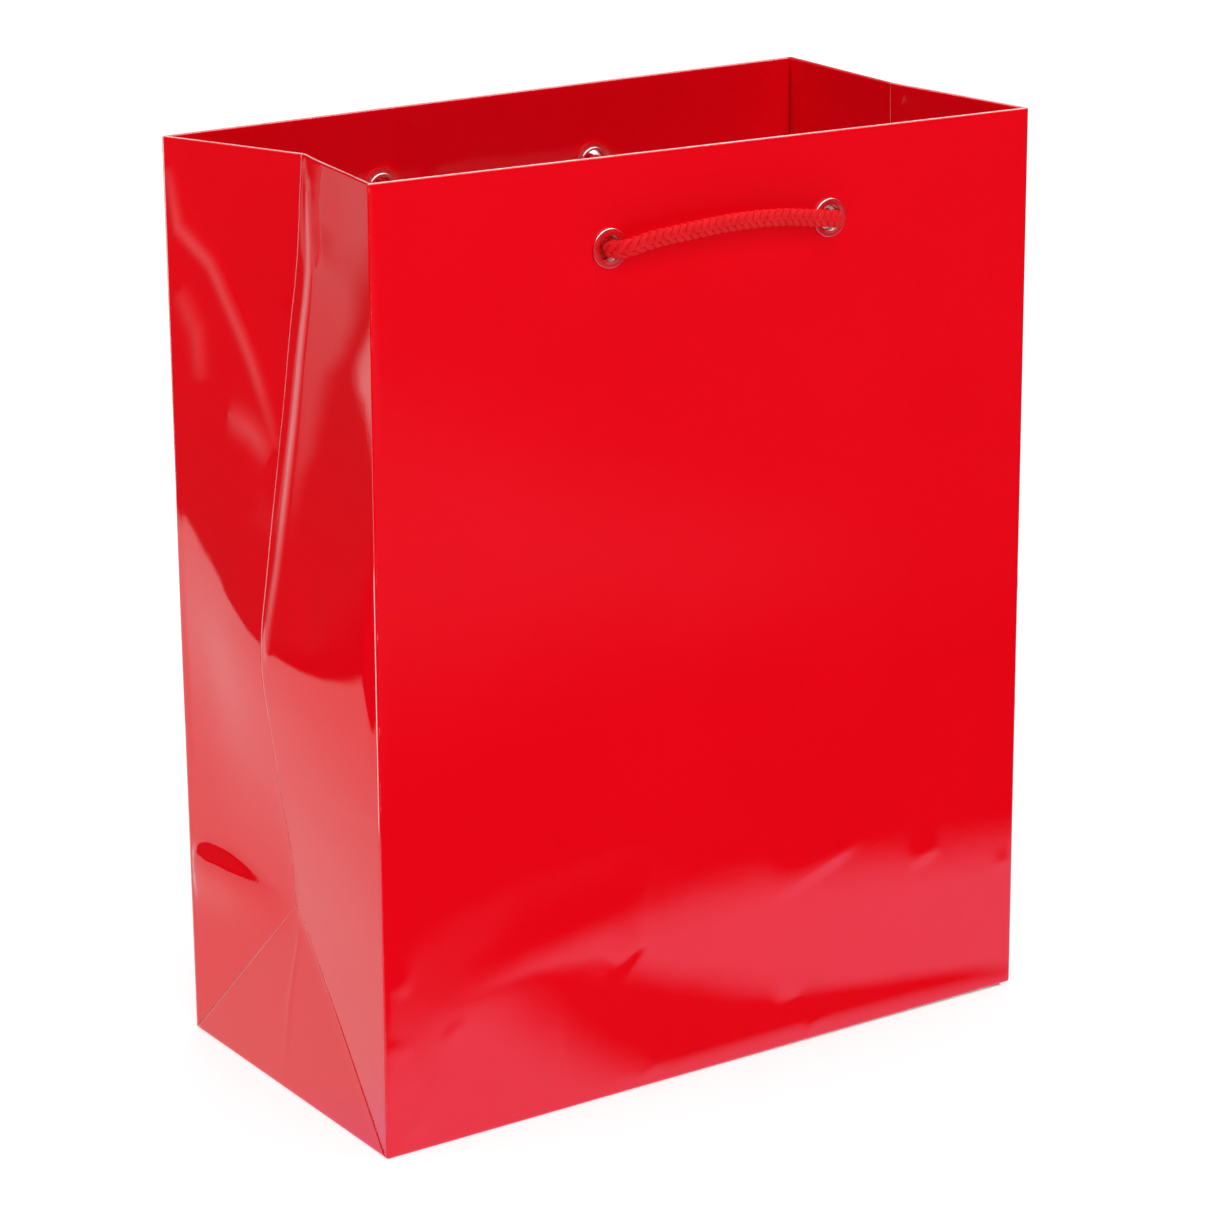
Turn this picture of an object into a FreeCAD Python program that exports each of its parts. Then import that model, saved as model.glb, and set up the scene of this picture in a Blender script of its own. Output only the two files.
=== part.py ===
import FreeCAD, Part
import math
import os

# Small laminated paper gift bag with drawn-in cord handles. Millimetres.
# Origin: centre of the base underside. +Z up, front panel towards -Y.

# ---- driving dimensions -------------------------------------------------
WIDTH = 206.0            # across the front panel
DEPTH = 106.0            # front to back
HEIGHT = 254.0           # base to rim
PAPER = 0.3              # laminated sheet
CARD = 0.6               # strip under the turned-in hem
BOARD = 1.0              # loose base board

HEM_DEPTH = 40.0         # turned-in rim
HEM_SETBACK = 8.0        # hems stop short of the folding corners
CARD_BOTTOM = 216.0
CARD_TOP = 252.0
CARD_HALF = 88.0

EYELET_X = 34.6          # half the distance between a wall's eyelets
EYELET_Z = 231.2
FRONT_SHIFT = 1.5        # each pair's centre, off the middle of its wall
BACK_SHIFT = -2.5
HOLE_R = 3.8             # hole through the paper
BORE_R = 3.3             # hole through the eyelet
FLANGE_R = 5.2
WASHER_R = 5.6
WASHER_T = 0.5

CORD_D = 4.8
TAIL_END_Z = 126.0       # underside of the hanging cord, above its knot
KNOT_R = 6.0
STUB_Z = 14.0            # cut end below the knot's centre

FOOT_GAP = 0.7           # foot triangle short of the corners
CREASE_RAISE = 1.0       # gusset edge above the diagonal crease
CORNER_GAP = 0.2         # gusset edge from the panel edge
CREASE_GAP = 0.8         # gusset halves from the centre plane
TAPER_FROM = 38.0        # gusset halves narrow above this height
TAPER_LEFT = 8.8         # narrowing at the rim
TAPER_RIGHT = 9.5

FLAP_LAP = 8.0           # major base flaps pass the centre by this
FLAP_INSET = 1.2         # base flaps from the gussets
SIDE_FLAP = 46.0         # reach of the minor base flaps
BOARD_X = 198.0
BOARD_Y = 98.0
TAB_WIDTH = 16.0

# Rest shape of the gusset centre crease: height, inward offset.
LEFT_CREASE = [(0.0, 0.0), (53.0, 4.0), (95.0, 0.6), (125.0, 0.3), (160.0, 0.6),
               (191.0, 5.0), (222.0, 9.3), (254.0, 12.0)]
RIGHT_CREASE = [(0.0, 0.0), (53.0, 4.0), (254.0, 4.0)]

X_IN = WIDTH / 2 - PAPER         # inner faces of the walls
Y_IN = DEPTH / 2 - PAPER


# ---- helpers ------------------------------------------------------------
def vec(x, y, z):
    return FreeCAD.Vector(x, y, z)


def block(x0, x1, y0, y1, z0, z1):
    return Part.makeBox(x1 - x0, y1 - y0, z1 - z0, vec(x0, y0, z0))


def facing(y, sy):
    """A span given for the back wall, turned to the front when sy is -1."""
    low, high = y
    return (low, high) if sy > 0 else (-high, -low)


def polygon(points):
    return Part.makePolygon([vec(*p) for p in points + points[:1]])


def drill(shape, sy, radius):
    """Both eyelet holes, straight through a front or back layer."""
    for sx in (-1, 1):
        start = vec(eyelet_x(sx, sy), sy * (Y_IN - 8), EYELET_Z)
        hole = Part.makeCylinder(radius, 16, start, vec(0, sy, 0))
        shape = shape.cut(hole)
    return shape


def lathe(profile, start, axis):
    """Revolve (radius, height) points about an axis through start."""
    edges = []
    for item in profile:
        if len(item) == 3:
            a, m, b = [vec(p[0], 0, p[1]) for p in item]
            edges.append(Part.Arc(a, m, b).toShape())
        else:
            a, b = [vec(p[0], 0, p[1]) for p in item]
            edges.append(Part.LineSegment(a, b).toShape())
    face = Part.Face(Part.Wire(edges))
    solid = face.revolve(vec(0, 0, 0), vec(0, 0, 1), 360)
    turn = FreeCAD.Rotation(vec(0, 0, 1), axis)
    solid.Placement = FreeCAD.Placement(start, turn)
    return solid


def cord(points, diameter):
    """Round cord through route points, with a tangent arc at each corner."""
    pts = [vec(*p) for p in points]
    edges = []
    here = pts[0]
    radii = []
    for i in range(1, len(pts) - 1):
        back = pts[i - 1] - pts[i]
        ahead = pts[i + 1] - pts[i]
        turn = math.pi - back.getAngle(ahead)
        reach = 0.45 * min(back.Length, ahead.Length)
        radius = reach / math.tan(turn / 2)
        radii.append(round(radius, 1))
        back.normalize()
        ahead.normalize()
        a = pts[i] + back * reach
        b = pts[i] + ahead * reach
        middle = back + ahead
        middle.normalize()
        out = radius / math.cos(turn / 2) - radius
        edges.append(Part.LineSegment(here, a).toShape())
        edges.append(Part.Arc(a, pts[i] + middle * out, b).toShape())
        here = b
    edges.append(Part.LineSegment(here, pts[-1]).toShape())
    path = Part.Wire(edges)
    start = pts[1] - pts[0]
    ring = Part.Wire(Part.makeCircle(diameter / 2, pts[0], start))
    solid = path.makePipeShell([ring], True, True, 2)
    wanted = math.pi * diameter ** 2 / 4 * path.Length
    print("cord length", round(path.Length, 1), "radii", radii,
          "volume ratio", round(solid.Volume / wanted, 3))
    return solid


# ---- walls --------------------------------------------------------------
def panel(sy):
    y = facing((Y_IN, DEPTH / 2), sy)
    sheet = block(-WIDTH / 2, WIDTH / 2, y[0], y[1], 0, HEIGHT)
    return drill(sheet, sy, HOLE_R)


def card(sy):
    y = facing((Y_IN - CARD, Y_IN), sy)
    strip = block(-CARD_HALF, CARD_HALF, y[0], y[1], CARD_BOTTOM, CARD_TOP)
    return drill(strip, sy, HOLE_R)


def hem(sy):
    """Turned-in rim: drops over the strip and lies on the wall below it."""
    y = facing((Y_IN - CARD - PAPER, Y_IN - CARD), sy)
    half = X_IN - HEM_SETBACK
    sheet = block(-half, half, y[0], y[1], HEIGHT - HEM_DEPTH, HEIGHT)
    return drill(sheet, sy, HOLE_R)


def seam_tab():
    x = X_IN - HEM_SETBACK
    return block(x - TAB_WIDTH, x, Y_IN - PAPER, Y_IN, 4, HEIGHT - HEM_DEPTH - 2)


def crease_at(crease, z):
    for (z0, c0), (z1, c1) in zip(crease, crease[1:]):
        if z0 <= z <= z1:
            return c0 + (c1 - c0) * (z - z0) / (z1 - z0)
    return crease[-1][1]


def fold_angle(crease, z):
    """Inward lean of a gusset half; one plane below the diagonal crease."""
    apex = crease[1]
    if z < apex[0]:
        return math.atan(apex[1] / Y_IN)
    return math.atan(crease_at(crease, z) / Y_IN)


def gusset_sheet(sx, sy, crease, taper, span, start, inner):
    """Half gusset between two heights, as a ruled skin on the folded line."""
    levels = [z for z, c in crease if span[0] < z < span[1]]
    wires = []
    for z in [span[0]] + levels + [span[1]]:
        a = fold_angle(crease, z)
        above = max(0.0, z - TAPER_FROM) / (HEIGHT - TAPER_FROM)
        edge = Y_IN - CREASE_GAP - taper * above
        width = edge / math.cos(a)
        t0, t1 = (-PAPER, 0.0) if inner else (0.0, PAPER)
        ring = []
        for s, t in ((start, t0), (width, t0), (width, t1), (start, t1)):
            x = -X_IN + s * math.sin(a) - t * math.cos(a)
            y = -Y_IN + s * math.cos(a) + t * math.sin(a)
            ring.append((-sx * x, -sy * y, z))
        wires.append(polygon(ring))
    return Part.makeLoft(wires, True, True)


def gusset_half(sx, sy, crease, taper):
    sheet = gusset_sheet(sx, sy, crease, taper, (0.0, HEIGHT), CORNER_GAP, False)
    y0 = -Y_IN - 1
    y1 = 1.0
    wedge = [(y0, -1), (y0, CREASE_RAISE - 1), (y1, CREASE_RAISE + y1 + Y_IN), (y1, -1)]
    ring = [(sx * WIDTH / 2 * 1.1, -sy * y, z) for y, z in wedge]
    prism = Part.Face(polygon(ring)).extrude(vec(-sx * WIDTH / 2, 0, 0))
    return sheet.cut(prism)


def gusset_hem(sx, sy, crease, taper):
    span = (HEIGHT - HEM_DEPTH, HEIGHT)
    return gusset_sheet(sx, sy, crease, taper + 1.0, span, HEM_SETBACK, True)


def foot(sx, crease):
    """Triangle between the base edge and the two diagonal creases."""
    half = Y_IN - FOOT_GAP
    ring = [(sx * X_IN, -half, 0.0), (sx * X_IN, half, 0.0), (sx * X_IN, 0.0, half)]
    plate = Part.Face(polygon(ring)).extrude(vec(sx * PAPER, 0, 0))
    lean = math.degrees(fold_angle(crease, 0.0))
    plate.rotate(vec(sx * X_IN, 0, 0), vec(0, -sx, 0), lean)
    return plate


# ---- base ---------------------------------------------------------------
def major_flap(sy):
    """Front flap lies flat; the rear one steps up over it at the lap."""
    half = X_IN - FLAP_INSET
    edge = Y_IN - 0.4
    if sy < 0:
        return block(-half, half, -edge, FLAP_LAP, 0, PAPER)
    step = FLAP_LAP + 0.6
    t = PAPER
    ring = [(edge, 0), (step, 0), (step - 0.5, t), (-FLAP_LAP, t),
            (-FLAP_LAP, 2 * t), (step, 2 * t), (step + 0.5, t), (edge, t)]
    face = Part.Face(polygon([(-half, y, z) for y, z in ring]))
    return face.extrude(vec(2 * half, 0, 0))


def minor_flap(sx):
    """Trapezoid side flap on top of the major flaps."""
    edge = X_IN - FLAP_INSET
    tip = edge - SIDE_FLAP
    z = 2 * PAPER
    wide = Y_IN - 1.0
    narrow = wide - 20.0
    ring = [(sx * edge, -wide, z), (sx * edge, wide, z),
            (sx * tip, narrow, z), (sx * tip, -narrow, z)]
    return Part.Face(polygon(ring)).extrude(vec(0, 0, PAPER))


def base_board():
    z = 3 * PAPER
    return block(-BOARD_X / 2, BOARD_X / 2, -BOARD_Y / 2, BOARD_Y / 2, z, z + BOARD)


# ---- eyelets ------------------------------------------------------------
def eyelet(sx, sy):
    back = PAPER + CARD + PAPER + WASHER_T
    b = BORE_R
    neck = HOLE_R - 0.1
    profile = [
        ((b, 0.3), (4.25, 0.8), (FLANGE_R, 0.0)),
        ((FLANGE_R, 0.0), (neck, 0.0)),
        ((neck, 0.0), (neck, -back)),
        ((neck, -back), (4.6, -back)),
        ((4.6, -back), (4.1, -back - 0.5), (b, -back - 0.1)),
        ((b, -back - 0.1), (b, 0.3)),
    ]
    start = vec(eyelet_x(sx, sy), sy * DEPTH / 2, EYELET_Z)
    return lathe(profile, start, vec(0, sy, 0))


def washer(sx, sy):
    inner = Y_IN - CARD - PAPER - WASHER_T
    start = vec(eyelet_x(sx, sy), sy * inner, EYELET_Z)
    ring = Part.makeCylinder(WASHER_R, WASHER_T, start, vec(0, sy, 0))
    bore = Part.makeCylinder(HOLE_R - 0.1, WASHER_T, start, vec(0, sy, 0))
    return ring.cut(bore)


# ---- handles ------------------------------------------------------------
# Distance along the wall, distance out from the wall's outer face, height
# above the eyelets. The span is measured from the middle of its eyelets and
# a hanging end from its own eyelet, outward along the wall.
SPAN_ROUTE = [(-34.6, 0.1, 0.0), (-34.6, 2.7, 0.1), (-33.3, 5.0, 0.4), (-31.0, 6.2, 1.1),
              (-26.3, 6.6, 2.2), (-17.0, 6.7, 2.9), (-1.0, 6.7, 3.9), (14.0, 6.6, 3.5),
              (24.0, 6.5, 2.0), (30.0, 6.1, 1.1), (33.1, 4.9, 0.5), (34.5, 2.7, 0.1),
              (34.6, 0.1, 0.0)]
TAIL_ROUTE = [(0.0, -1.5, 0.0), (0.1, -4.1, -0.1), (0.2, -6.3, -1.5), (0.4, -7.5, -3.8),
              (0.5, -7.9, -8.4), (0.8, -7.8, -17.0), (0.9, -7.6, -34.0), (0.3, -7.2, -62.0),
              (-0.3, -6.9, -86.0), (0.0, -6.9, TAIL_END_Z - EYELET_Z)]


def wall_middle(sy):
    return FRONT_SHIFT if sy < 0 else BACK_SHIFT


def eyelet_x(sx, sy):
    return wall_middle(sy) + sx * EYELET_X


def placed(route, x0, sx, sy):
    return [(x0 + sx * x, sy * (DEPTH / 2 + out), EYELET_Z + up) for x, out, up in route]


def handle_span(sy):
    return cord(placed(SPAN_ROUTE, wall_middle(sy), -sy, sy), CORD_D)


def handle_tail(sx, sy):
    return cord(placed(TAIL_ROUTE, eyelet_x(sx, sy), sx, sy), CORD_D)


def knot(sx, sy):
    """Round stand-in for the overhand knot, with the cut end below it."""
    x, out, up = TAIL_ROUTE[-1]
    drop = TAIL_END_Z - 0.2 - KNOT_R
    centre = vec(eyelet_x(sx, sy) + sx * x, sy * (DEPTH / 2 + out), drop)
    ball = Part.makeSphere(KNOT_R, centre)
    stub = Part.makeCylinder(CORD_D / 2, STUB_Z, centre, vec(0, 0, -1))
    return ball.fuse(stub)


# ---- assembly -----------------------------------------------------------
def build():
    nodes = {}
    for name, sy in (("front", -1), ("back", 1)):
        nodes[name + "_panel"] = panel(sy)
        nodes[name + "_hem"] = hem(sy)
        nodes[name + "_card"] = card(sy)
        nodes["handle_" + name] = handle_span(sy)
        for side, sx in (("left", -1), ("right", 1)):
            nodes["eyelet_" + name + "_" + side] = eyelet(sx, sy)
            nodes["washer_" + name + "_" + side] = washer(sx, sy)
            nodes["tail_" + name + "_" + side] = handle_tail(sx, sy)
            nodes["knot_" + name + "_" + side] = knot(sx, sy)
    sides = (("left", -1, LEFT_CREASE, TAPER_LEFT), ("right", 1, RIGHT_CREASE, TAPER_RIGHT))
    for side, sx, crease, taper in sides:
        nodes["foot_" + side] = foot(sx, crease)
        nodes["base_flap_" + side] = minor_flap(sx)
        for name, sy in (("front", -1), ("rear", 1)):
            nodes["gusset_" + side + "_" + name] = gusset_half(sx, sy, crease, taper)
            nodes["gusset_hem_" + side + "_" + name] = gusset_hem(sx, sy, crease, taper)
    nodes["base_flap_front"] = major_flap(-1)
    nodes["base_flap_rear"] = major_flap(1)
    nodes["base_board"] = base_board()
    nodes["seam_tab"] = seam_tab()
    return nodes


os.makedirs("parts", exist_ok=True)
for name, shape in sorted(build().items()):
    shape.exportStep("parts/" + name + ".step")
    size = shape.BoundBox
    print(name, "solids", len(shape.Solids), "valid", shape.isValid(),
          "volume", round(shape.Volume, 1), "x", round(size.XMin, 2), round(size.XMax, 2),
          "y", round(size.YMin, 2), round(size.YMax, 2),
          "z", round(size.ZMin, 2), round(size.ZMax, 2))
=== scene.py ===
import math

import bpy
import numpy as np
from mathutils import Matrix, Vector, noise


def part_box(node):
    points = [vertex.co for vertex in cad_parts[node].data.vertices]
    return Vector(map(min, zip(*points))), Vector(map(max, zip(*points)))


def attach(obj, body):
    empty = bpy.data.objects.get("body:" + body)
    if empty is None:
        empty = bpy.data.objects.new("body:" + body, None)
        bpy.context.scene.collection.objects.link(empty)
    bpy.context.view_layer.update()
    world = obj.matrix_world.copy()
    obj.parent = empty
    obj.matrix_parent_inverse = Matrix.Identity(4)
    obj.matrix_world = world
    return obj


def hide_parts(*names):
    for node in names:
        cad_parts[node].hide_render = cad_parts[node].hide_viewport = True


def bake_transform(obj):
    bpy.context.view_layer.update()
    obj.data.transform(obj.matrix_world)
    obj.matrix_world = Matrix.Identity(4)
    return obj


# Glossy red paper gift bag. Surfaces are worked out in millimetres in the
# row frame and turned into metres when a mesh is made.
MM = 0.001

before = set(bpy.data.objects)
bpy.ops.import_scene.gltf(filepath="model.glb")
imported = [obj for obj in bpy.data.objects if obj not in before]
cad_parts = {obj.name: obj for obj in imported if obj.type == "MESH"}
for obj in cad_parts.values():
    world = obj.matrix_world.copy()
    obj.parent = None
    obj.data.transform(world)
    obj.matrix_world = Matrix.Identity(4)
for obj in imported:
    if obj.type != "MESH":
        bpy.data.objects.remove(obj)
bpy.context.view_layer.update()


def box_mm(node):
    low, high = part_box(node)
    return np.array(low) / MM, np.array(high) / MM


def middle(node):
    low, high = box_mm(node)
    return (low + high) / 2


# ---- measures -----------------------------------------------------------
FRONT_LOW, FRONT_HIGH = box_mm("front_panel")
HALF_W = FRONT_HIGH[0]
HALF_D = -FRONT_LOW[1]
HEIGHT = FRONT_HIGH[2]
PAPER = FRONT_HIGH[1] - FRONT_LOW[1]
HEM_LOW, HEM_HIGH = box_mm("front_hem")
HEM_END = HEM_LOW[2]
RIM_R = (HEM_HIGH[1] - FRONT_LOW[1]) / 2     # paper rolled over the card strip
FOLD_R = 0.9                                 # outside of a folded corner
SIDES = (("left", -1), ("right", 1))
WALLS = (("front", -1), ("back", 1))
EYELETS = {w + "_" + s: middle("eyelet_" + w + "_" + s) for w, _ in WALLS for s, _ in SIDES}

# ---- camera -------------------------------------------------------------
CAMERA_PLACE = (-0.5605, -0.8355, 0.4207)
CAMERA_AZIMUTH = -33.908
CAMERA_ELEVATION = 16.727
CAMERA_ROLL = -0.411
CAMERA_LENS = 113.2


def make_camera():
    az, el, roll = (math.radians(a) for a in (CAMERA_AZIMUTH, CAMERA_ELEVATION, CAMERA_ROLL))
    back = Vector((math.sin(az) * math.cos(el), -math.cos(az) * math.cos(el), math.sin(el)))
    right = (-back).cross(Vector((0, 0, 1))).normalized()
    up = right.cross(-back)
    across = math.cos(roll) * right + math.sin(roll) * up
    upward = math.cos(roll) * up - math.sin(roll) * right
    data = bpy.data.cameras.new("camera")
    data.lens = CAMERA_LENS
    data.sensor_width = 36.0
    data.clip_start = 0.05
    camera = bpy.data.objects.new("camera", data)
    turn = Matrix((across, upward, back)).transposed().to_4x4()
    camera.matrix_world = Matrix.Translation(CAMERA_PLACE) @ turn
    bpy.context.scene.collection.objects.link(camera)
    bpy.context.scene.camera = camera


# ---- cords: routes ------------------------------------------------------
# Distance along the wall, distance out from its outer face, height above the
# eyelets, in metres. A span is measured from the middle of its two eyelets,
# a hanging end from its own eyelet, outward along the wall.
SPAN_ROUTE = [(-0.0346, 0.0001, 0.0), (-0.0346, 0.0027, 0.0001), (-0.0333, 0.005, 0.0004),
              (-0.031, 0.0062, 0.0011), (-0.0263, 0.0066, 0.0022), (-0.017, 0.0067, 0.0029),
              (-0.001, 0.0067, 0.0039), (0.014, 0.0066, 0.0035), (0.024, 0.0065, 0.002),
              (0.03, 0.0061, 0.0011), (0.0331, 0.0049, 0.0005), (0.0345, 0.0027, 0.0001),
              (0.0346, 0.0001, 0.0)]
TAIL_ROUTE = [(0.0, -0.0015, 0.0), (0.0001, -0.0041, -0.0001), (0.0002, -0.0063, -0.0015),
              (0.0004, -0.0075, -0.0038), (0.0005, -0.0079, -0.0084), (0.0008, -0.0078, -0.017),
              (0.0009, -0.0076, -0.034), (0.0003, -0.0072, -0.062), (-0.0003, -0.0069, -0.086),
              (0.0, -0.0069, -0.1052)]
STRANDS = 5              # strands wound each way round the core
BRAID_LEAD = 11.5        # length of one full turn of a strand
BRAID_R = 1.5            # middle of the strands
BRAID_WAVE = 0.3         # over and under
BRAID_STEEP = 2.2        # how sharply a strand dives under
STRAND_WIDE = 0.82       # half widths of one strand
STRAND_DEEP = 0.55
CORE_R = 1.3
SPAN_DETAIL = (56, 8)    # rings in one lead, points round a strand
TAIL_DETAIL = (40, 6)


def placed(route, x0, sx, sy):
    """Route points in the row frame, for a wall facing sy."""
    high = EYELETS["front_left"][2] * MM
    face = HALF_D * MM
    return [(x0 + sx * x, sy * (face + out), high + up) for x, out, up in route]


def centreline(name, points):
    """Points along the smooth line that has the route's points as control points."""
    curve = bpy.data.curves.new(name + "_line", "CURVE")
    curve.dimensions = "3D"
    spline = curve.splines.new("NURBS")
    spline.points.add(len(points) - 1)
    for target, p in zip(spline.points, points):
        target.co = (*p, 1.0)
    spline.order_u = 3
    spline.use_endpoint_u = True
    spline.resolution_u = 16
    carrier = bpy.data.objects.new(name + "_line", curve)
    mesh = bpy.data.meshes.new_from_object(carrier)
    line = np.array([v.co for v in mesh.vertices], float)
    bpy.data.meshes.remove(mesh)
    bpy.data.objects.remove(carrier)
    bpy.data.curves.remove(curve)
    return line


def evenly(line, step):
    """The same line with points a step apart."""
    runs = np.linalg.norm(np.diff(line, axis=0), axis=1)
    along = np.concatenate([[0.0], np.cumsum(runs)])
    at = np.linspace(0.0, along[-1], max(2, int(round(along[-1] / step)) + 1))
    return np.stack([np.interp(at, along, line[:, k]) for k in range(3)], axis=1), at


def frames_along(line):
    """Two cross directions that don't twist along a line."""
    tangent = np.gradient(line, axis=0)
    tangent /= np.linalg.norm(tangent, axis=1)[:, None]
    first = np.cross(tangent[0], (1.0, 0.3, 0.2))
    first /= np.linalg.norm(first)
    side = [first]
    for t in tangent[1:]:
        s = side[-1] - t * (side[-1] @ t)
        side.append(s / np.linalg.norm(s))
    side = np.array(side)
    return side, np.cross(tangent, side)


def tube_faces(count, sides, first):
    """Quads of a swept tube of rings, with both ends closed."""
    ring = np.arange(sides)
    start = first + np.arange(count - 1)[:, None] * sides
    a = start + ring
    b = start + (ring + 1) % sides
    quads = np.stack([a, b, b + sides, a + sides], axis=-1).reshape(-1, 4)
    near = tuple(first + ring[::-1])
    far = tuple(first + (count - 1) * sides + ring)
    return [tuple(q) for q in quads] + [near, far]


def braid(line, detail, facing):
    """Vertices, faces and UVs of a herringbone braid along a line in mm, a row of Vs facing one way."""
    per_lead, sides = detail
    points, at = evenly(line, BRAID_LEAD / per_lead)
    side, up = frames_along(points)
    half = len(points) // 2
    row = math.atan2(up[half] @ facing, side[half] @ facing)
    ring = np.linspace(0, 2 * math.pi, sides, endpoint=False)
    verts, faces, coords = [], [], []
    jobs = [(way, k) for way in (1, -1) for k in range(STRANDS)] + [(0, 0)]
    for way, k in jobs:
        if way:
            turn = way * 2 * math.pi * at / BRAID_LEAD + k * 2 * math.pi / STRANDS
            over = np.tanh(BRAID_STEEP * np.sin(2 * (turn - row)))
            reach = BRAID_R + way * BRAID_WAVE * over
            out = np.cos(turn)[:, None] * side + np.sin(turn)[:, None] * up
            middle_line = points + out * reach[:, None]
            slope = np.gradient(middle_line, axis=0)
            slope /= np.linalg.norm(slope, axis=1)[:, None]
            flank = np.cross(slope, out)
            deep, wide = STRAND_DEEP, STRAND_WIDE
        else:
            middle_line, out, flank = points, side, up
            deep, wide = CORE_R, CORE_R
        rings = (middle_line[:, None] + out[:, None] * (deep * np.cos(ring))[None, :, None]
                 + flank[:, None] * (wide * np.sin(ring))[None, :, None])
        faces += tube_faces(len(points), sides, len(verts) * len(points) * sides)
        verts.append(rings.reshape(-1, 3))
        u = np.repeat(at, sides)
        v = np.tile(ring / (2 * math.pi), len(points))
        coords.append(np.stack([u, v], axis=1))
    return np.concatenate(verts), faces, np.concatenate(coords)


# ---- node helpers -------------------------------------------------------
def new_material(name):
    material = bpy.data.materials.new(name)
    material.use_nodes = True
    tree = material.node_tree
    tree.nodes.clear()
    output = tree.nodes.new("ShaderNodeOutputMaterial")
    shader = tree.nodes.new("ShaderNodeBsdfPrincipled")
    tree.links.new(shader.outputs["BSDF"], output.inputs["Surface"])
    return material, tree, shader


def set_input(tree, node, key, value):
    if isinstance(value, bpy.types.NodeSocket):
        tree.links.new(value, node.inputs[key])
    elif value is not None:
        node.inputs[key].default_value = value


def math_node(tree, operation, a, b=None, c=None):
    node = tree.nodes.new("ShaderNodeMath")
    node.operation = operation
    for i, value in enumerate((a, b, c)):
        set_input(tree, node, i, value)
    return node.outputs[0]


def ramp(tree, value, low, high, start=0.0, end=1.0):
    """Smooth step of a value from low to high."""
    node = tree.nodes.new("ShaderNodeMapRange")
    node.interpolation_type = "SMOOTHSTEP"
    pairs = (("From Min", low), ("From Max", high), ("To Min", start), ("To Max", end))
    for key, number in (("Value", value),) + pairs:
        set_input(tree, node, key, number)
    return node.outputs[0]


def noise_node(tree, where, scale, detail=3.0, rough=0.5, stretch=None):
    if stretch:
        mapping = tree.nodes.new("ShaderNodeMapping")
        mapping.inputs["Scale"].default_value = stretch
        tree.links.new(where, mapping.inputs["Vector"])
        where = mapping.outputs["Vector"]
    node = tree.nodes.new("ShaderNodeTexNoise")
    tree.links.new(where, node.inputs["Vector"])
    node.inputs["Scale"].default_value = scale
    node.inputs["Detail"].default_value = detail
    node.inputs["Roughness"].default_value = rough
    return node.outputs["Fac"]


def mix_colour(tree, share, a, b):
    node = tree.nodes.new("ShaderNodeMix")
    node.data_type = "RGBA"
    for socket, value in ((node.inputs[0], share), (node.inputs[6], a), (node.inputs[7], b)):
        if isinstance(value, bpy.types.NodeSocket):
            tree.links.new(value, socket)
        else:
            socket.default_value = value
    return node.outputs[2]


def bump_node(tree, height, distance, strength=1.0, below=None):
    node = tree.nodes.new("ShaderNodeBump")
    node.inputs["Strength"].default_value = strength
    node.inputs["Distance"].default_value = distance
    tree.links.new(height, node.inputs["Height"])
    if below:
        tree.links.new(below, node.inputs["Normal"])
    return node.outputs["Normal"]


def object_place(tree):
    return tree.nodes.new("ShaderNodeTexCoord").outputs["Object"]


# ---- materials ----------------------------------------------------------
INK = (0.80, 0.0016, 0.0080, 1.0)
INK_DEEP = (0.755, 0.0010, 0.0060, 1.0)
# Pale pink of the painted highlight lines, which stand in for gloss on the buckles.
HIGHLIGHT_PINK = (0.88, 0.26, 0.27, 1.0)
WORN = (0.93, 0.60, 0.57, 1.0)


def laminate_material():
    """Red ink under a clear film: deep colour, a sharp coat, pale where folds are worn, and pink painted
    highlight lines along the buckles.
    """
    material, tree, shader = new_material("red_laminate")
    where = object_place(tree)
    cloudy = noise_node(tree, where, 22.0, 4.0, 0.55)
    fibre = noise_node(tree, where, 900.0, 3.0, 0.6, (0.35, 1.0, 1.6))
    ink = mix_colour(tree, cloudy, INK_DEEP, INK)
    # Painted highlight: pale pink mixed into the ink where the attribute says, broken up by cloudy noise.
    painted_highlight = tree.nodes.new("ShaderNodeAttribute")
    painted_highlight.attribute_name = "painted_highlight"
    highlight_breakup = math_node(tree, "MULTIPLY", painted_highlight.outputs["Fac"], ramp(tree, cloudy, 0.3, 0.6, 0.55, 1.0))
    ink = mix_colour(tree, highlight_breakup, ink, HIGHLIGHT_PINK)
    worn = tree.nodes.new("ShaderNodeAttribute")
    worn.attribute_name = "wear"
    speck = noise_node(tree, where, 420.0, 5.0, 0.7)
    patchy = noise_node(tree, where, 38.0, 2.0, 0.5)
    spread = math_node(tree, "MULTIPLY", math_node(tree, "ADD", speck, patchy), 0.5)
    edge = math_node(tree, "ADD", worn.outputs["Fac"], math_node(tree, "SUBTRACT", spread, 0.5))
    share = ramp(tree, edge, 0.62, 0.98)
    tree.links.new(mix_colour(tree, share, ink, WORN), shader.inputs["Base Color"])
    rough = ramp(tree, fibre, 0.2, 0.8, 0.36, 0.5)
    tree.links.new(rough, shader.inputs["Roughness"])
    shader.inputs["Specular IOR Level"].default_value = 0.0
    shader.inputs["Coat Weight"].default_value = 1.0
    shader.inputs["Coat IOR"].default_value = 1.5
    shader.inputs["Coat Roughness"].default_value = 0.035
    wavy = bump_node(tree, noise_node(tree, where, 70.0, 1.0, 0.4), 0.00006)
    grain = bump_node(tree, fibre, 0.000006, 1.0, wavy)
    tree.links.new(grain, shader.inputs["Coat Normal"])
    tree.links.new(grain, shader.inputs["Normal"])
    return material


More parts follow.
